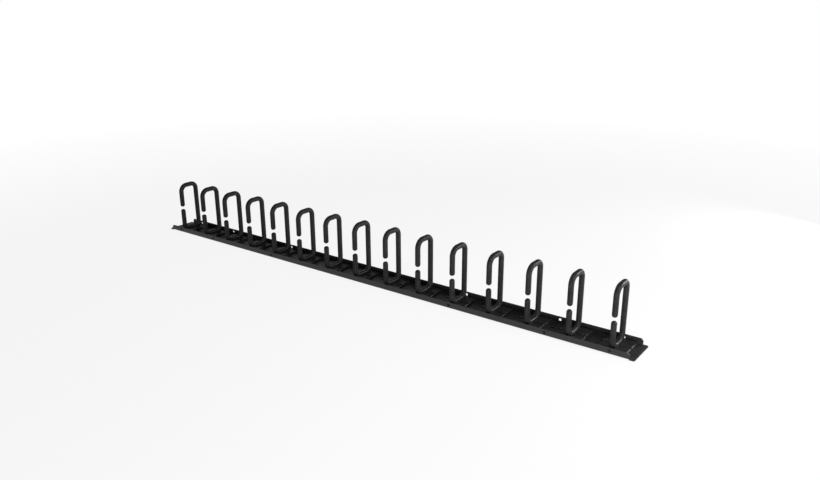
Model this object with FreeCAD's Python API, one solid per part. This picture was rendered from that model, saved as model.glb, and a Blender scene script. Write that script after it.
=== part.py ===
import FreeCAD, Part
import os

# Vertical cable manager: a long folded-steel tray that carries a row of moulded D-ring cable hooks.
# Millimetres. X runs along the tray, Y across it with the ring mouths on the -Y side, Z is up.
# The origin is the centre of the tray's flat underside.

# Row of rings
RING_COUNT = 15
RING_PITCH = 60.6            # along the tray
END_MARGIN = 33.0            # last ring to the end of the tray

# One D-ring, a moulded bar bent round to a narrow mouth in its front leg
RING_HEIGHT = 91.6           # top of the ring above the tray's underside
LEG_SPACING = 32.6           # front leg to back leg, centre to centre
BAR_DEPTH = 8.0              # bar section in the plane of the ring
BAR_THICKNESS = 7.2          # bar section along the tray
FRONT_RADIUS = 16.0          # outside of the bend over the front leg
BACK_RADIUS = 13.6           # outside of the bend over the back leg
HEEL_CUT = 5.5               # slanted outside lower corners, above the top of the foot
GUSSET = 3.6                 # slanted webs in the inside lower corners of the ring
STUB_TOP = 43.0              # end of the lower front leg above the tray's underside
MOUTH_GAP = 5.0              # opening between the stub and the hook above it
TIP_CUT = 2.2                # slanted corners of the two ends at the mouth
EDGE_CHAMFER = 2.0           # long edges of the bar

# Foot plate of a ring, with a rib, a raised lug and a locking peg towards each end
FOOT_LENGTH = 39.0           # along the tray
FOOT_THICKNESS = 3.0
FOOT_CLEARANCE = 0.2         # foot to the start of each fold of the tray
FOOT_EDGE_BEVEL = 1.3        # eased upper edge
RIB_START = 5.0              # from the middle of the ring
RIB_WIDTH = 6.0
RIB_RISE = 0.8               # above the top of the foot
RIB_BEVEL = 0.5              # eased upper edge
LUG_LENGTH = 2.4
LUG_WIDTH = 3.8
LUG_RISE = 1.5               # above the top of the foot
PEG_LENGTH = 3.6
PEG_WIDTH = 4.4
PEG_END_MARGIN = 1.2         # peg to the end of the foot
PEG_RECESS = 0.2             # the peg ends this far above the tray's underside
SLOT_CLEARANCE = 0.15        # peg to slot, on each side

# Folded tray
RING_SIDE_GAP = 3.2          # ring to the inner face of each side wall
WALL_HEIGHT = 9.5            # underside to the top edge of a side wall
SHEET = 1.5                  # sheet thickness
BEND_RADIUS = 1.5            # inside radius of the two folds
WALL_SETBACK = 7.2           # the side walls stop this far short of each end
WALL_CORNER_RADIUS = 4.0     # upper corners of the side walls
TAB_CORNER_CUT = 1.5         # cut corners of the two end tabs

# Holes in the tray, placed in ring pitches inwards from the last ring
MOUNT_HOLE_DIAMETER = 6.5    # floor holes, clearance for a rack screw
MOUNT_HOLE_INSET = 1.5       # halfway between two rings
SIDE_HOLE_DIAMETER = 4.2     # small holes through both side walls
SIDE_HOLE_HEIGHT = 5.2       # centre above the underside
SIDE_HOLE_INSETS = (0, 1.5, 4)

# Places that follow from the sizes above
ROW_END = RING_PITCH * (RING_COUNT - 1) / 2
TRAY_END = ROW_END + END_MARGIN
WALL_END = TRAY_END - WALL_SETBACK
INNER_Y = (LEG_SPACING - BAR_DEPTH) / 2
OUTER_Y = (LEG_SPACING + BAR_DEPTH) / 2
WALL_INNER_Y = OUTER_Y + RING_SIDE_GAP
WALL_OUTER_Y = WALL_INNER_Y + SHEET
FOOT_TOP = SHEET + FOOT_THICKNESS
FOOT_HALF_WIDTH = WALL_INNER_Y - BEND_RADIUS - FOOT_CLEARANCE
FOOT_HALF_LENGTH = FOOT_LENGTH / 2
SILL_TOP = SHEET + BAR_DEPTH
HOOK_TIP = STUB_TOP + MOUTH_GAP
PEG_CENTRE = FOOT_HALF_LENGTH - PEG_END_MARGIN - PEG_LENGTH / 2
BOTH_WAYS = (-1, 1)
ARC_SHARE = 1 - 0.5 ** 0.5   # how far the middle of a quarter round lies from its corner
TOUCH = 1e-6                 # two lengths this close are the same


def vector(x, y, z):
    """A point or a direction."""
    return FreeCAD.Vector(x, y, z)


def block(length, width, bottom, top, x=0.0):
    """A box centred on x and on the middle of the tray, from one height to another."""
    return Part.makeBox(length, width, top - bottom, vector(x - length / 2, -width / 2, bottom))


def outline_face(corners):
    """A face in the YZ plane from (y, z, radius) corners; the rounded ones are right angles."""
    points = [vector(0, y, z) for y, z, radius in corners]
    edges = []
    last_end = None
    for index, point in enumerate(points):
        radius = corners[index][2]
        back = (points[index - 1] - point).normalize() * radius
        ahead = (points[(index + 1) % len(points)] - point).normalize() * radius
        start, end = point + back, point + ahead
        if last_end is None:
            first_start = start
        else:
            edges.append(Part.LineSegment(last_end, start).toShape())
        if radius:
            middle = point + (back + ahead) * ARC_SHARE
            edges.append(Part.Arc(start, middle, end).toShape())
        last_end = end
    edges.append(Part.LineSegment(last_end, first_start).toShape())
    return Part.Face(Part.Wire(edges))


def extrude_along_tray(face, length):
    """Stretch a YZ face along X, centred on the middle of the tray."""
    solid = face.extrude(vector(length, 0, 0))
    solid.translate(vector(-length / 2, 0, 0))
    return solid


def slant(radius):
    """The cut that takes the place of a quarter round and touches its middle."""
    return 2 * ARC_SHARE * radius


def ring_loop():
    """The D-shaped bar: sill, back leg, top and hook, with the stub below the mouth."""
    inner_top = RING_HEIGHT - BAR_DEPTH
    front_web = slant(FRONT_RADIUS - BAR_DEPTH)
    back_web = slant(BACK_RADIUS - BAR_DEPTH)
    heel = HEEL_CUT + FOOT_THICKNESS
    corners = [
        (heel - OUTER_Y, SHEET, 0),
        (OUTER_Y - heel, SHEET, 0),
        (OUTER_Y, SHEET + heel, 0),
        (OUTER_Y, RING_HEIGHT, BACK_RADIUS),
        (-OUTER_Y, RING_HEIGHT, FRONT_RADIUS),
        (-OUTER_Y, HOOK_TIP + TIP_CUT, 0),
        (TIP_CUT - OUTER_Y, HOOK_TIP, 0),
        (-INNER_Y - TIP_CUT, HOOK_TIP, 0),
        (-INNER_Y, HOOK_TIP + TIP_CUT, 0),
        (-INNER_Y, inner_top - front_web, 0),
        (front_web - INNER_Y, inner_top, 0),
        (INNER_Y - back_web, inner_top, 0),
        (INNER_Y, inner_top - back_web, 0),
        (INNER_Y, SILL_TOP + GUSSET, 0),
        (INNER_Y - GUSSET, SILL_TOP, 0),
        (GUSSET - INNER_Y, SILL_TOP, 0),
        (-INNER_Y, SILL_TOP + GUSSET, 0),
        (-INNER_Y, STUB_TOP - TIP_CUT, 0),
        (-INNER_Y - TIP_CUT, STUB_TOP, 0),
        (TIP_CUT - OUTER_Y, STUB_TOP, 0),
        (-OUTER_Y, STUB_TOP - TIP_CUT, 0),
        (-OUTER_Y, SHEET + heel, 0),
    ]
    bar = extrude_along_tray(outline_face(corners), BAR_THICKNESS)
    long_edges = [
        edge for edge in bar.Edges
        if edge.BoundBox.XLength < TOUCH and edge.BoundBox.ZMax > FOOT_TOP
    ]
    return bar.makeChamfer(EDGE_CHAMFER, long_edges)


def eased_block(length, width, bottom, top, bevel, x=0.0):
    """A box with its upper edges cut by a small bevel."""
    solid = block(length, width, bottom, top, x)
    upper = [edge for edge in solid.Edges if edge.BoundBox.ZMin > top - TOUCH]
    return solid.makeChamfer(bevel, upper)


def ring_foot():
    """The plate under a ring; towards each end a rib that ends in a lug, and a peg below them."""
    foot = eased_block(FOOT_LENGTH, 2 * FOOT_HALF_WIDTH, SHEET, FOOT_TOP, FOOT_EDGE_BEVEL)
    rib_end = FOOT_HALF_LENGTH - FOOT_EDGE_BEVEL
    rib_length = rib_end - RIB_START
    rib_top = FOOT_TOP + RIB_RISE
    lug_centre = FOOT_HALF_LENGTH - LUG_LENGTH / 2
    lug_top = FOOT_TOP + LUG_RISE
    for way in BOTH_WAYS:
        rib_centre = way * (RIB_START + rib_length / 2)
        rib = eased_block(rib_length, RIB_WIDTH, SHEET, rib_top, RIB_BEVEL, rib_centre)
        lug = block(LUG_LENGTH, LUG_WIDTH, SHEET, lug_top, way * lug_centre)
        peg = block(PEG_LENGTH, PEG_WIDTH, PEG_RECESS, SHEET, way * PEG_CENTRE)
        foot = foot.fuse([rib, lug, peg])
    return foot


def d_ring():
    """One moulded ring on its foot, standing at the middle of the tray."""
    return ring_loop().fuse(ring_foot()).removeSplitter()


def ring_places():
    """X of each ring, evenly spaced about the middle of the tray."""
    return [RING_PITCH * index - ROW_END for index in range(RING_COUNT)]


def tray_holes():
    """Cutters for the floor holes, the side-wall holes and the peg slots."""
    cutters = []
    mount_x = ROW_END - MOUNT_HOLE_INSET * RING_PITCH
    for way in BOTH_WAYS:
        cutters.append(Part.makeCylinder(MOUNT_HOLE_DIAMETER / 2, SHEET, vector(way * mount_x, 0, 0)))
        for inset in SIDE_HOLE_INSETS:
            start = vector(way * (ROW_END - inset * RING_PITCH), -WALL_OUTER_Y, SIDE_HOLE_HEIGHT)
            along_y = vector(0, 1, 0)
            cutters.append(Part.makeCylinder(SIDE_HOLE_DIAMETER / 2, 2 * WALL_OUTER_Y, start, along_y))
    slot_length = PEG_LENGTH + 2 * SLOT_CLEARANCE
    slot_width = PEG_WIDTH + 2 * SLOT_CLEARANCE
    for x in ring_places():
        for way in BOTH_WAYS:
            cutters.append(block(slot_length, slot_width, 0, SHEET, x + way * PEG_CENTRE))
    return Part.makeCompound(cutters)


def tray():
    """The folded channel: a flat floor, two low side walls and a bare tab at each end."""
    outer_bend = BEND_RADIUS + SHEET
    section = [
        (-WALL_OUTER_Y, WALL_HEIGHT, 0),
        (-WALL_OUTER_Y, 0, outer_bend),
        (WALL_OUTER_Y, 0, outer_bend),
        (WALL_OUTER_Y, WALL_HEIGHT, 0),
        (WALL_INNER_Y, WALL_HEIGHT, 0),
        (WALL_INNER_Y, SHEET, BEND_RADIUS),
        (-WALL_INNER_Y, SHEET, BEND_RADIUS),
        (-WALL_INNER_Y, WALL_HEIGHT, 0),
    ]
    channel = extrude_along_tray(outline_face(section), 2 * WALL_END)
    wall_corners = [
        edge for edge in channel.Edges
        if edge.BoundBox.ZMin > WALL_HEIGHT - TOUCH and edge.BoundBox.XLength < TOUCH
    ]
    folded = channel.makeFillet(WALL_CORNER_RADIUS, wall_corners)
    for way in BOTH_WAYS:
        tab = block(WALL_SETBACK, 2 * WALL_OUTER_Y, 0, SHEET, way * (WALL_END + WALL_SETBACK / 2))
        tab_corners = [
            edge for edge in tab.Edges
            if edge.BoundBox.ZLength > TOUCH and abs(edge.CenterOfMass.x) > TRAY_END - TOUCH
        ]
        folded = folded.fuse(tab.makeChamfer(TAB_CORNER_CUT, tab_corners))
    return folded.cut(tray_holes()).removeSplitter()


os.makedirs("parts", exist_ok=True)
tray().exportStep("parts/tray.step")
ring = d_ring()
for number, place in enumerate(ring_places(), start=1):
    moved = ring.copy()
    moved.translate(vector(place, 0, 0))
    moved.exportStep(f"parts/d_ring_{number:02d}.step")
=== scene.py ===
import math

import bpy
import numpy as np
from bpy.props import FloatProperty, FloatVectorProperty, PointerProperty
from mathutils import Matrix, Vector


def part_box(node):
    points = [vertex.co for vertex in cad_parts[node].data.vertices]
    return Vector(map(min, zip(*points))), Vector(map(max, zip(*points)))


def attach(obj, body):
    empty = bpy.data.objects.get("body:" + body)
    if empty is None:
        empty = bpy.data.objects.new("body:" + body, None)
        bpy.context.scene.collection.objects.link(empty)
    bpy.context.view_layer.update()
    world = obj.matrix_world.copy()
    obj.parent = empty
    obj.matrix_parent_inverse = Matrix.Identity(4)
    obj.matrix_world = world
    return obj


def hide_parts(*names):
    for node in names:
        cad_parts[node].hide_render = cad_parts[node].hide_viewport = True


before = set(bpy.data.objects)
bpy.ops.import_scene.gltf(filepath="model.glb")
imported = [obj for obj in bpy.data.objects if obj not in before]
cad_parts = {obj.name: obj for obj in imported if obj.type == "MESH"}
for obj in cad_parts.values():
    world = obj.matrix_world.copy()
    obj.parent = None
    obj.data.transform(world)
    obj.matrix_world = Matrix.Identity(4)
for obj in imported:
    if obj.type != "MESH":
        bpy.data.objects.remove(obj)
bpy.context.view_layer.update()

bl_info = {
    "name": "Vertical cable manager",
    "version": (1, 0, 0),
    "blender": (4, 5, 0),
    "location": "3D View > Sidebar > Cable manager",
    "description": "Dresses a rack cable manager: a coated steel tray with a row of moulded D-rings",
    "category": "Object",
}

# What the frame gives
BODY = "root"
TRAY_NODE = "tray"
RING_NODES = sorted(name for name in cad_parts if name.startswith("d_ring"))
RING_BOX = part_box(RING_NODES[0])
TRAY_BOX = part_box(TRAY_NODE)
FOOT_HALF = (RING_BOX[1].x - RING_BOX[0].x) / 2

# Fineness of the rounded surfaces, and the radius of an edge that is left sharp
CORNER_STEPS = 14
EDGE_STEPS = 7
HAIRLINE = 0.0001

# Parts of a noise pattern's range over which the two tones blend and the roughness changes
TONE_SPAN = (0.35, 0.65)
ROUGH_SPAN = (0.3, 0.7)

# Floor paper in the open, and dark paper under the tray: painted shade that stands in for the deep shade
# there
WHITE = (1, 1, 1, 1)
PAPER = (0.88, 0.88, 0.88, 1)
# painted shade: this dark grey stands in for the shade under the tray
PAINTED_SHADE_PAPER = (0.06, 0.06, 0.06, 1)
PAPER_ROUGHNESS = 0.9

# Distance from the tray down to the floor, and how far the covered strip stays inside the tray's outline
FLOOR_GAP = 0.0002
COVERED_MARGIN = 0.0035

# How much of the paper shows as white near the object, and the distances over which that rises to all of it
NEAR_WHITE = 0.88
WHITE_FADE = (0.6, 1.6)

# The backdrop fades into the room between these heights of a direction of length one
BACKDROP_FADE = (0.06, 0.26)

# Lamps by name: where each stands, what it faces, its width and its height
NEAR_END = (0.4, 0.0, 0.03)
TRAY_MIDDLE = (0.0, 0.0, 0.0)
LAMPS = {
    "top": ((0.6, 0.0, 0.9), NEAR_END, 0.5, 0.4),
    "back": ((0.6, 0.95, 0.45), NEAR_END, 0.5, 0.4),
    "key": ((0.7, 0.63, 0.135), NEAR_END, 0.45, 0.16),
    "side": ((0.85, 0.0, 0.4), NEAR_END, 0.3, 0.3),
    "front": ((0.75, -0.8, 0.09), NEAR_END, 0.5, 0.12),
    "left": ((-1.0, 1.0, 0.5), TRAY_MIDDLE, 1.0, 0.4),
}

# Width of the camera's sensor in millimetres
SENSOR_WIDTH = 36.0


class RingSizes(bpy.types.PropertyGroup):
    """Sizes of one D-ring, heights measured from the underside of the tray."""

    top: FloatProperty(
        name="Top", description="Highest point of the ring", default=RING_BOX[1].z, unit="LENGTH")
    leg_spacing: FloatProperty(
        name="Leg spacing", description="Front leg to back leg, centre to centre",
        default=0.0326, unit="LENGTH")
    bar_depth: FloatProperty(
        name="Bar depth", description="Bar section in the plane of the ring",
        default=0.008, unit="LENGTH")
    bar_thickness: FloatProperty(
        name="Bar thickness", description="Bar section along the tray", default=0.0072, unit="LENGTH")
    edge_round: FloatProperty(
        name="Edge round", description="Radius of the bar's long edges", default=0.0032, unit="LENGTH")
    front_radius: FloatProperty(
        name="Front radius", description="Outside of the bend over the front leg",
        default=0.016, unit="LENGTH")
    back_radius: FloatProperty(
        name="Back radius", description="Outside of the bend over the back leg",
        default=0.0136, unit="LENGTH")
    heel_radius: FloatProperty(
        name="Heel radius", description="Outside lower corners", default=0.013, unit="LENGTH")
    sill_radius: FloatProperty(
        name="Sill radius", description="Inside lower corners", default=0.0062, unit="LENGTH")
    stub_top: FloatProperty(
        name="Stub top", description="End of the lower front leg", default=0.043, unit="LENGTH")
    mouth_gap: FloatProperty(
        name="Mouth gap", description="Stub to the hook above it", default=0.005, unit="LENGTH")
    tip_radius: FloatProperty(
        name="Tip radius", description="Rounded ends at the mouth", default=0.0036, unit="LENGTH")
    foot_bottom: FloatProperty(
        name="Foot bottom", description="Underside of the foot plate", default=0.0015, unit="LENGTH")
    foot_top: FloatProperty(
        name="Foot top", description="Upper face of the foot plate", default=0.0045, unit="LENGTH")
    foot_edge: FloatProperty(
        name="Foot edge", description="Rounded corners and upper edge of the foot plate",
        default=0.0013, unit="LENGTH")
    rib_start: FloatProperty(
        name="Rib start", description="Start of each foot rib from the middle of the ring",
        default=0.005, unit="LENGTH")
    rib_width: FloatProperty(
        name="Rib width", description="Foot rib across the tray", default=0.006, unit="LENGTH")
    rib_top: FloatProperty(
        name="Rib top", description="Upper face of the foot ribs", default=0.0053, unit="LENGTH")
    rib_round: FloatProperty(
        name="Rib round", description="Radius of the ribs' backs and ends",
        default=0.0024, unit="LENGTH")
    lug_edge: FloatProperty(
        name="Lug edge", description="Rounded edges of the lugs", default=0.0008, unit="LENGTH")
    lug_length: FloatProperty(
        name="Lug length", description="End lug along the tray", default=0.0024, unit="LENGTH")
    lug_width: FloatProperty(
        name="Lug width", description="End lug across the tray", default=0.0038, unit="LENGTH")
    lug_top: FloatProperty(
        name="Lug top", description="Top of the end lugs", default=0.006, unit="LENGTH")
    peg_length: FloatProperty(
        name="Peg length", description="Locking peg along the tray", default=0.0036, unit="LENGTH")
    peg_width: FloatProperty(
        name="Peg width", description="Locking peg across the tray", default=0.0044, unit="LENGTH")
    peg_margin: FloatProperty(
        name="Peg margin", description="Peg to the end of the foot", default=0.0012, unit="LENGTH")


class Finishes(bpy.types.PropertyGroup):
    """Colours of the coat and of the plastic."""

    coat_dark: FloatVectorProperty(
        name="Coat, dark", description="Darker tone of the powder coat",
        default=(0.006, 0.006, 0.0061), subtype="COLOR")
    coat_light: FloatVectorProperty(
        name="Coat, light", description="Lighter tone of the powder coat",
        default=(0.01, 0.01, 0.0102), subtype="COLOR")
    plastic_dark: FloatVectorProperty(
        name="Plastic, dark", description="Darker tone of the ring plastic",
        default=(0.013, 0.013, 0.0133), subtype="COLOR")
    plastic_light: FloatVectorProperty(
        name="Plastic, light", description="Lighter tone of the ring plastic",
        default=(0.019, 0.019, 0.0194), subtype="COLOR")


class StageSettings(bpy.types.PropertyGroup):
    """Camera, floor and lights."""

    camera_place: FloatVectorProperty(
        name="Camera place", description="Where the camera stands",
        default=(0.7315, -0.8572, 0.4435), subtype="TRANSLATION", unit="LENGTH")
    camera_aim: FloatVectorProperty(
        name="Camera aim", description="The point in the middle of the picture",
        default=(0.0951, 0.0, 0.08), subtype="TRANSLATION", unit="LENGTH")
    camera_roll: FloatProperty(
        name="Camera roll", description="Turn about the line of sight",
        default=math.radians(-0.3), subtype="ANGLE")
    lens: FloatProperty(
        name="Lens", description="Focal length on a sensor 36 mm wide", default=33.12, unit="CAMERA")
    floor_size: FloatProperty(
        name="Floor size", description="Side of the floor", default=60.0, unit="LENGTH")
    room_light: FloatProperty(
        name="Room light", description="Strength of the soft light from above the backdrop",
        default=0.08)
    top_light: FloatProperty(
        name="Top light", description="Power of the lamp over the near end",
        default=1.8, unit="POWER")
    back_light: FloatProperty(
        name="Back light", description="Power of the high lamp behind the near end",
        default=0.25, unit="POWER")
    key_light: FloatProperty(
        name="Key light", description="Power of the low lamp behind the near end",
        default=4.0, unit="POWER")
    side_light: FloatProperty(
        name="Side light", description="Power of the lamp off the near end",
        default=3.0, unit="POWER")
    front_light: FloatProperty(
        name="Front light", description="Power of the low lamp in front of the near end",
        default=7.0, unit="POWER")
    left_light: FloatProperty(
        name="Left light", description="Power of the lamp behind the far end",
        default=0.9, unit="POWER")


def settings():
    """The scene's own copy of all sizes, colours and stage values."""
    return bpy.context.scene.cable_manager


# Surfaces worked out as arrays

def rounded_outline(corners):
    """A closed outline from (a, b, radius) corners, counter-clockwise, each turned into an arc.

    An arc's centre lies one radius inside its corner's first side, at the tangent length
    radius * tan(turn / 2) before the corner; the outward normal turns evenly from side to side and
    each point is the centre plus or minus the radius along that normal.
    Returns the points and their outward normals, one row each.
    """
    corners = np.asarray(corners, float)
    points, radii = corners[:, :2], corners[:, 2]
    ahead = np.roll(points, -1, axis=0) - points
    ahead /= np.linalg.norm(ahead, axis=1, keepdims=True)
    arriving = np.roll(ahead, 1, axis=0)
    cross = arriving[:, 0] * ahead[:, 1] - arriving[:, 1] * ahead[:, 0]
    turn = np.arctan2(cross, (arriving * ahead).sum(axis=1))
    signed_radius = np.sign(turn) * radii
    normal = np.stack([arriving[:, 1], -arriving[:, 0]], axis=1)
    tangent_length = radii * np.tan(np.abs(turn) / 2)
    centre = points - arriving * tangent_length[:, None] - normal * signed_radius[:, None]
    angle = turn[:, None] * np.linspace(0, 1, CORNER_STEPS + 1)
    normals = np.stack([
        normal[:, :1] * np.cos(angle) - normal[:, 1:] * np.sin(angle),
        normal[:, :1] * np.sin(angle) + normal[:, 1:] * np.cos(angle),
    ], axis=2)
    outline = centre[:, None, :] + signed_radius[:, None, None] * normals
    return outline.reshape(-1, 2), normals.reshape(-1, 2)


def edge_profile(low, high, low_round, high_round):
    """The side of a slab from its lower to its upper face, with a quarter round at each edge.

    With t from -90 to 0 degrees at the lower edge and from 0 to 90 at the upper one, the surface
    stands radius * (1 - cos t) in from the outline and radius * sin t beyond the round's centre.
    Returns height, inset and the two parts of the normal, outwards and upwards.
    """
    quarter = np.linspace(0, np.pi / 2, EDGE_STEPS + 1)
    angle = np.concatenate([-quarter[::-1], quarter])
    radius = np.repeat([low_round, high_round], EDGE_STEPS + 1)
    centre = np.repeat([low + low_round, high - high_round], EDGE_STEPS + 1)
    height = centre + radius * np.sin(angle)
    inset = radius * (1 - np.cos(angle))
    return height, inset, np.cos(angle), np.sin(angle)


def slab(corners, low, high, low_round, high_round, order=(0, 1, 2)):
    """A closed slab: an edge profile carried round an outline, with a flat face at each end.

    The point for outline place i and profile place j is outline[i] - normal[i] * inset[j], at
    height[j]; order says which of (a, b, height) becomes x, y and z.
    Returns points, normals and faces.
    """
    outline, outward = rounded_outline(corners)
    height, inset, lean_out, lean_up = edge_profile(low, high, low_round, high_round)
    count, rows = len(outline), len(height)
    flat = outline[None] - outward[None] * inset[:, None, None]
    tall = np.broadcast_to(height[:, None, None], (rows, count, 1))
    points = np.concatenate([flat, tall], axis=2).reshape(-1, 3)
    flat_normal = outward[None] * lean_out[:, None, None]
    tall_normal = np.broadcast_to(lean_up[:, None, None], (rows, count, 1))
    normals = np.concatenate([flat_normal, tall_normal], axis=2).reshape(-1, 3)
    here = np.arange(count)
    after = np.roll(here, -1)
    base = np.arange(rows - 1)[:, None] * count
    quads = np.stack([base + here, base + after, base + count + after, base + count + here], axis=2)
    caps = [here[::-1].tolist(), (here + (rows - 1) * count).tolist()]
    return points[:, order], normals[:, order], quads.reshape(-1, 4).tolist() + caps


def box_corners(low_a, low_b, high_a, high_b, radius):
    """The four corners of a rectangle, counter-clockwise, all with one radius."""
    return [
        (low_a, low_b, radius),
        (high_a, low_b, radius),
        (high_a, high_b, radius),
        (low_a, high_b, radius),
    ]


def end_block(way, near, far, width, radius):
    """A rectangle between two distances from the ring's middle, on one side of it."""
    low, high = sorted((way * near, way * far))
    return box_corners(low, -width / 2, high, width / 2, radius)


def mesh_piece(name, shells, shift, materials):
    """One object made of (points, normals, faces, material number) shells, moved by shift."""
    points, normals, faces, kinds = [], [], [], []
    start = 0
    for shell_points, shell_normals, shell_faces, kind in shells:
        points.append(shell_points + shift)
        normals.append(shell_normals)
        faces += [[start + index for index in face] for face in shell_faces]
        kinds += [kind] * len(shell_faces)
        start += len(shell_points)
    mesh = bpy.data.meshes.new(name)
    mesh.from_pydata(np.concatenate(points), [], faces)
    mesh.polygons.foreach_set("use_smooth", np.ones(len(faces), bool))
    mesh.polygons.foreach_set("material_index", np.array(kinds, np.int32))
    mesh.normals_split_custom_set_from_vertices(np.concatenate(normals))
    for material in materials:
        mesh.materials.append(material)
    piece = bpy.data.objects.new(name, mesh)
    bpy.context.scene.collection.objects.link(piece)
    return piece


# D-rings

def ring_bar(sizes):
    """The D-shaped bar with its mouth: one outline in the plane of the ring, with rounded long edges."""
    inner = (sizes.leg_spacing - sizes.bar_depth) / 2
    outer = (sizes.leg_spacing + sizes.bar_depth) / 2
    inner_top = sizes.top - sizes.bar_depth
    sill_top = sizes.foot_bottom + sizes.bar_depth
    hook_tip = sizes.stub_top + sizes.mouth_gap
    corners = [
        (-outer, sizes.foot_bottom, sizes.heel_radius),
        (outer, sizes.foot_bottom, sizes.heel_radius),
        (outer, sizes.top, sizes.back_radius),
        (-outer, sizes.top, sizes.front_radius),
        (-outer, hook_tip, sizes.tip_radius),
        (-inner, hook_tip, sizes.tip_radius),
        (-inner, inner_top, sizes.front_radius - sizes.bar_depth),
        (inner, inner_top, sizes.back_radius - sizes.bar_depth),
        (inner, sill_top, sizes.sill_radius),
        (-inner, sill_top, sizes.sill_radius),
        (-inner, sizes.stub_top, sizes.tip_radius),
        (-outer, sizes.stub_top, sizes.tip_radius),
    ]
    half = sizes.bar_thickness / 2
    return slab(corners, -half, half, sizes.edge_round, sizes.edge_round, order=(2, 0, 1))


def foot_plate(sizes):
    """The foot plate of a ring, with rounded corners and a rounded upper edge."""
    half_width = (RING_BOX[1].y - RING_BOX[0].y) / 2
    plate = box_corners(-FOOT_HALF, -half_width, FOOT_HALF, half_width, sizes.foot_edge)
    return slab(plate, sizes.foot_bottom, sizes.foot_top, HAIRLINE, sizes.foot_edge)


def foot_ends(sizes):
    """The rib, the lug and the peg towards each end of the foot plate."""
    shells = []
    rib_end = FOOT_HALF - sizes.foot_edge
    lug_start = FOOT_HALF - sizes.lug_length
    peg_end = FOOT_HALF - sizes.peg_margin
    peg_start = peg_end - sizes.peg_length
    peg_top = sizes.foot_top - sizes.foot_edge
    for way in (-1, 1):
        rib = end_block(way, sizes.rib_start, rib_end, sizes.rib_width, sizes.rib_round)
        lug = end_block(way, lug_start, FOOT_HALF, sizes.lug_width, sizes.lug_edge)
        peg = end_block(way, peg_start, peg_end, sizes.peg_width, HAIRLINE)
        shells.append(slab(rib, sizes.foot_bottom, sizes.rib_top, HAIRLINE, sizes.rib_round))
        shells.append(slab(lug, sizes.foot_bottom, sizes.lug_top, HAIRLINE, sizes.lug_edge))
        shells.append(slab(peg, RING_BOX[0].z, peg_top, HAIRLINE, HAIRLINE))
    return shells


# Shader nodes

def carry_range(tree, value, old, new):
    """A number carried over from one range to another and held at its ends."""
    node = tree.nodes.new("ShaderNodeMapRange")
    node.inputs["From Min"].default_value = old[0]
    node.inputs["From Max"].default_value = old[1]
    node.inputs["To Min"].default_value = new[0]
    node.inputs["To Max"].default_value = new[1]
    tree.links.new(value, node.inputs["Value"])
    return node.outputs["Result"]


def combine(tree, operation, first, second):
    """A number made from two others by a named operation."""
    node = tree.nodes.new("ShaderNodeMath")
    node.operation = operation
    tree.links.new(first, node.inputs[0])
    tree.links.new(second, node.inputs[1])
    return node.outputs["Value"]


def noise(tree, place, scale, detail):
    """A noise pattern with a given number of cells to the metre."""
    node = tree.nodes.new("ShaderNodeTexNoise")
    node.inputs["Scale"].default_value = scale
    node.inputs["Detail"].default_value = detail
    tree.links.new(place, node.inputs["Vector"])
    return node.outputs["Fac"]


# Finishes

def new_finish(name, specular):
    """A node material with a given specular level: its node tree, its shader and its Object coordinates."""
    material = bpy.data.materials.new(name)
    material.use_nodes = True
    tree = material.node_tree
    shader = tree.nodes["Principled BSDF"]
    shader.inputs["Specular IOR Level"].default_value = specular
    place = tree.nodes.new("ShaderNodeTexCoord")
    return material, tree, shader, place.outputs["Object"]


def two_tones(tree, pattern, dark, light, shader):
    """Base colour between two tones, following a pattern."""
    ramp = tree.nodes.new("ShaderNodeValToRGB")
    for element, position, colour in zip(ramp.color_ramp.elements, TONE_SPAN, (dark, light)):
        element.position = position
        element.color = (*colour, 1)
    tree.links.new(pattern, ramp.inputs["Fac"])
    tree.links.new(ramp.outputs["Color"], shader.inputs["Base Color"])


def rough_range(tree, pattern, low, high, shader):
    """Roughness between two limits, following a pattern."""
    roughness = carry_range(tree, pattern, ROUGH_SPAN, (low, high))
    tree.links.new(roughness, shader.inputs["Roughness"])


def raise_pattern(tree, pattern, depth, strength, shader):
    """Relief of a given depth in metres, following a pattern."""
    bump = tree.nodes.new("ShaderNodeBump")
    bump.inputs["Distance"].default_value = depth
    bump.inputs["Strength"].default_value = strength
    tree.links.new(pattern, bump.inputs["Height"])
    tree.links.new(bump.outputs["Normal"], shader.inputs["Normal"])


def powder_coat(colours):
    """Satin powder coat: cloudy tone and a fine grain of about a millimetre."""
    material, tree, shader, place = new_finish("powder_coat", specular=0.45)
    clouds = noise(tree, place, scale=60, detail=4)
    grain = noise(tree, place, scale=1100, detail=3)
    two_tones(tree, clouds, colours.coat_dark, colours.coat_light, shader)
    rough_range(tree, grain, low=0.42, high=0.6, shader=shader)
    raise_pattern(tree, grain, depth=0.00025, strength=0.35, shader=shader)
    return material


def bar_plastic(colours):
    """Semi-gloss moulded plastic: slow waves in its gloss and a very fine skin."""
    material, tree, shader, place = new_finish("bar_plastic", specular=0.1)
    waves = noise(tree, place, scale=90, detail=3)
    skin = noise(tree, place, scale=1600, detail=2)
    two_tones(tree, waves, colours.plastic_dark, colours.plastic_light, shader)
    rough_range(tree, waves, low=0.38, high=0.5, shader=shader)
    raise_pattern(tree, skin, depth=0.0001, strength=0.12, shader=shader)
    return material


def foot_plastic(colours):
    """The same plastic with the fine grain of a textured mould."""
    material, tree, shader, place = new_finish("foot_plastic", specular=0.2)
    clouds = noise(tree, place, scale=120, detail=4)
    grain = noise(tree, place, scale=1300, detail=3)
    two_tones(tree, clouds, colours.plastic_dark, colours.plastic_light, shader)
    rough_range(tree, grain, low=0.4, high=0.52, shader=shader)
    raise_pattern(tree, grain, depth=0.0002, strength=0.3, shader=shader)
    return material


# Stage

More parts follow.
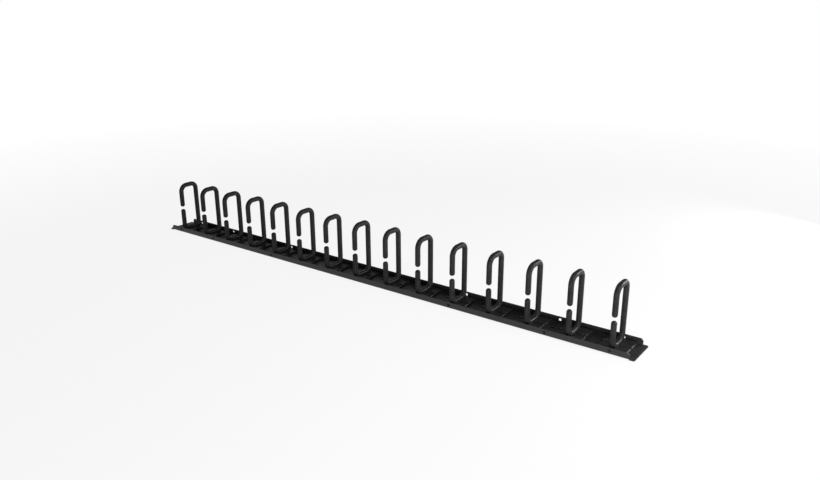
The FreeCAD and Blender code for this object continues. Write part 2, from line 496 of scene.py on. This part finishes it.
def seen_by_eye(tree):
    """One for camera, glossy and transmission rays, nought for the rays that light the object."""
    rays = tree.nodes.new("ShaderNodeLightPath").outputs
    direct = combine(tree, "MAXIMUM", rays["Is Camera Ray"], rays["Is Glossy Ray"])
    return combine(tree, "MAXIMUM", direct, rays["Is Transmission Ray"])


def floor_mesh(half):
    """A square floor in five faces; the last one is the strip that the tray covers."""
    drop = TRAY_BOX[0].z - FLOOR_GAP
    wide, deep = TRAY_BOX[1].x - COVERED_MARGIN, TRAY_BOX[1].y - COVERED_MARGIN
    signs = np.array([(-1, -1), (1, -1), (1, 1), (-1, 1)], float)
    sides = len(signs)
    flat = np.concatenate([signs * half, signs * (wide, deep)])
    points = np.concatenate([flat, np.full((len(flat), 1), drop)], axis=1)
    here = np.arange(sides)
    after = np.roll(here, -1)
    ring = np.stack([here, after, after + sides, here + sides], axis=1).tolist()
    mesh = bpy.data.meshes.new("floor")
    mesh.from_pydata(points, [], ring + [(here + sides).tolist()])
    # the covered strip takes the second material, the dark paper of painted shade
    mesh.polygons.foreach_set("material_index", np.array([0] * sides + [1], np.int32))
    return mesh


def floor_shade():
    """Painted shade: dark paper under the tray, seen only through the floor holes, standing in for the deep
    shade there.
    """
    material = bpy.data.materials.new("floor_shade")
    material.use_nodes = True
    shader = material.node_tree.nodes["Principled BSDF"]
    # painted shade colour, not the paper's own
    shader.inputs["Base Color"].default_value = PAINTED_SHADE_PAPER
    shader.inputs["Roughness"].default_value = PAPER_ROUGHNESS
    shader.inputs["Specular IOR Level"].default_value = 0.0
    return material


def white_share(tree):
    """Share of the paper that shows as white: most of it near the object's shadow, all of it far away."""
    place = tree.nodes.new("ShaderNodeTexCoord")
    distance = tree.nodes.new("ShaderNodeVectorMath")
    distance.operation = "LENGTH"
    tree.links.new(place.outputs["Object"], distance.inputs[0])
    share = carry_range(tree, distance.outputs["Value"], WHITE_FADE, (NEAR_WHITE, 1.0))
    return combine(tree, "MULTIPLY", seen_by_eye(tree), share)


def floor_white():
    """Paper that shows as white and keeps a light shadow."""
    material = bpy.data.materials.new("floor_white")
    material.use_nodes = True
    tree = material.node_tree
    tree.nodes.remove(tree.nodes["Principled BSDF"])
    paper = tree.nodes.new("ShaderNodeBsdfDiffuse")
    paper.inputs["Color"].default_value = PAPER
    glow = tree.nodes.new("ShaderNodeEmission")
    glow.inputs["Color"].default_value = WHITE
    glow.inputs["Strength"].default_value = 1.0
    blend = tree.nodes.new("ShaderNodeMixShader")
    tree.links.new(white_share(tree), blend.inputs["Fac"])
    tree.links.new(paper.outputs["BSDF"], blend.inputs[1])
    tree.links.new(glow.outputs["Emission"], blend.inputs[2])
    tree.links.new(blend.outputs["Shader"], tree.nodes["Material Output"].inputs["Surface"])
    return material


def white_floor(size):
    """The floor with its two papers: the white one, and the dark one of painted shade under the tray."""
    mesh = floor_mesh(size / 2)
    mesh.materials.append(floor_white())
    mesh.materials.append(floor_shade())
    floor = bpy.data.objects.new("floor", mesh)
    bpy.context.scene.collection.objects.link(floor)


def studio_room(strength):
    """World: a white backdrop low down that fades upwards into a dim, even room."""
    world = bpy.data.worlds.new("studio")
    world.use_nodes = True
    tree = world.node_tree
    room = tree.nodes["Background"]
    room.inputs["Color"].default_value = WHITE
    place = tree.nodes.new("ShaderNodeTexCoord")
    parts = tree.nodes.new("ShaderNodeSeparateXYZ")
    tree.links.new(place.outputs["Generated"], parts.inputs["Vector"])
    fade = carry_range(tree, parts.outputs["Z"], BACKDROP_FADE, (1.0, strength))
    tree.links.new(fade, room.inputs["Strength"])
    bpy.context.scene.world = world


def soft_lamp(name, place, aim, width, height, power):
    """A rectangular lamp that faces a point."""
    lamp = bpy.data.lights.new(name, "AREA")
    lamp.shape = "RECTANGLE"
    lamp.size = width
    lamp.size_y = height
    lamp.energy = power
    holder = bpy.data.objects.new(name, lamp)
    holder.location = place
    holder.rotation_euler = (Vector(aim) - Vector(place)).to_track_quat("-Z", "Y").to_euler()
    bpy.context.scene.collection.objects.link(holder)


def photo_camera(stage):
    """A level camera that looks at its aim, then rolls a little about its line of sight."""
    camera = bpy.data.cameras.new("camera")
    camera.sensor_width = SENSOR_WIDTH
    camera.lens = stage.lens
    camera.clip_end = stage.floor_size
    holder = bpy.data.objects.new("camera", camera)
    sight = Vector(stage.camera_aim) - Vector(stage.camera_place)
    turned = sight.to_track_quat("-Z", "Y").to_matrix() @ Matrix.Rotation(stage.camera_roll, 3, "Z")
    holder.matrix_world = Matrix.Translation(stage.camera_place) @ turned.to_4x4()
    bpy.context.scene.collection.objects.link(holder)
    bpy.context.scene.camera = holder


class CableManagerSettings(bpy.types.PropertyGroup):
    """All that a user would change."""

    ring: PointerProperty(type=RingSizes)
    finish: PointerProperty(type=Finishes)
    stage: PointerProperty(type=StageSettings)


class FinishTray(bpy.types.Operator):
    """Give the folded tray its powder coat"""

    bl_idname = "cable_manager.finish_tray"
    bl_label = "Finish tray"

    def execute(self, context):
        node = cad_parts[TRAY_NODE]
        node.data.materials.clear()
        node.data.materials.append(powder_coat(settings().finish))
        return {"FINISHED"}


class BuildRings(bpy.types.Operator):
    """Build every D-ring where its solid stands"""

    bl_idname = "cable_manager.build_rings"
    bl_label = "Build D-rings"

    def execute(self, context):
        sizes = settings().ring
        finishes = [bar_plastic(settings().finish), foot_plastic(settings().finish)]
        shells = [(*ring_bar(sizes), 0), (*foot_plate(sizes), 1)]
        shells += [(*shell, 1) for shell in foot_ends(sizes)]
        for node in RING_NODES:
            low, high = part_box(node)
            middle = np.array([(low.x + high.x) / 2, 0, 0])
            ring = mesh_piece(node + "_moulding", shells, middle, finishes)
            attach(ring, BODY)
            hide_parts(node)
        return {"FINISHED"}


class BuildStage(bpy.types.Operator):
    """Set the floor, the lights and the camera"""

    bl_idname = "cable_manager.build_stage"
    bl_label = "Build stage"

    def execute(self, context):
        stage = settings().stage
        white_floor(stage.floor_size)
        studio_room(stage.room_light)
        for name, (place, aim, width, height) in LAMPS.items():
            soft_lamp(name + "_lamp", place, aim, width, height, getattr(stage, name + "_light"))
        photo_camera(stage)
        context.scene.view_settings.view_transform = "Standard"
        return {"FINISHED"}


class CableManagerPanel(bpy.types.Panel):
    """Sizes and steps in the sidebar"""

    bl_idname = "VIEW3D_PT_cable_manager"
    bl_label = "Cable manager"
    bl_space_type = "VIEW_3D"
    bl_region_type = "UI"
    bl_category = "Cable manager"

    def draw(self, context):
        layout = self.layout
        for group in (settings().ring, settings().finish, settings().stage):
            box = layout.box()
            for name in group.__annotations__:
                box.prop(group, name)
        for operator in OPERATORS:
            layout.operator(operator.bl_idname)


OPERATORS = (FinishTray, BuildRings, BuildStage)
CLASSES = (RingSizes, Finishes, StageSettings, CableManagerSettings, *OPERATORS, CableManagerPanel)


def register():
    """Add the classes and the scene's settings."""
    for one in CLASSES:
        bpy.utils.register_class(one)
    bpy.types.Scene.cable_manager = PointerProperty(type=CableManagerSettings)


def unregister():
    """Take the settings and the classes away again."""
    del bpy.types.Scene.cable_manager
    for one in reversed(CLASSES):
        bpy.utils.unregister_class(one)


def main():
    """Dress the frame and set the stage."""
    register()
    bpy.ops.cable_manager.finish_tray()
    bpy.ops.cable_manager.build_rings()
    bpy.ops.cable_manager.build_stage()


if __name__ == "__main__":
    main()
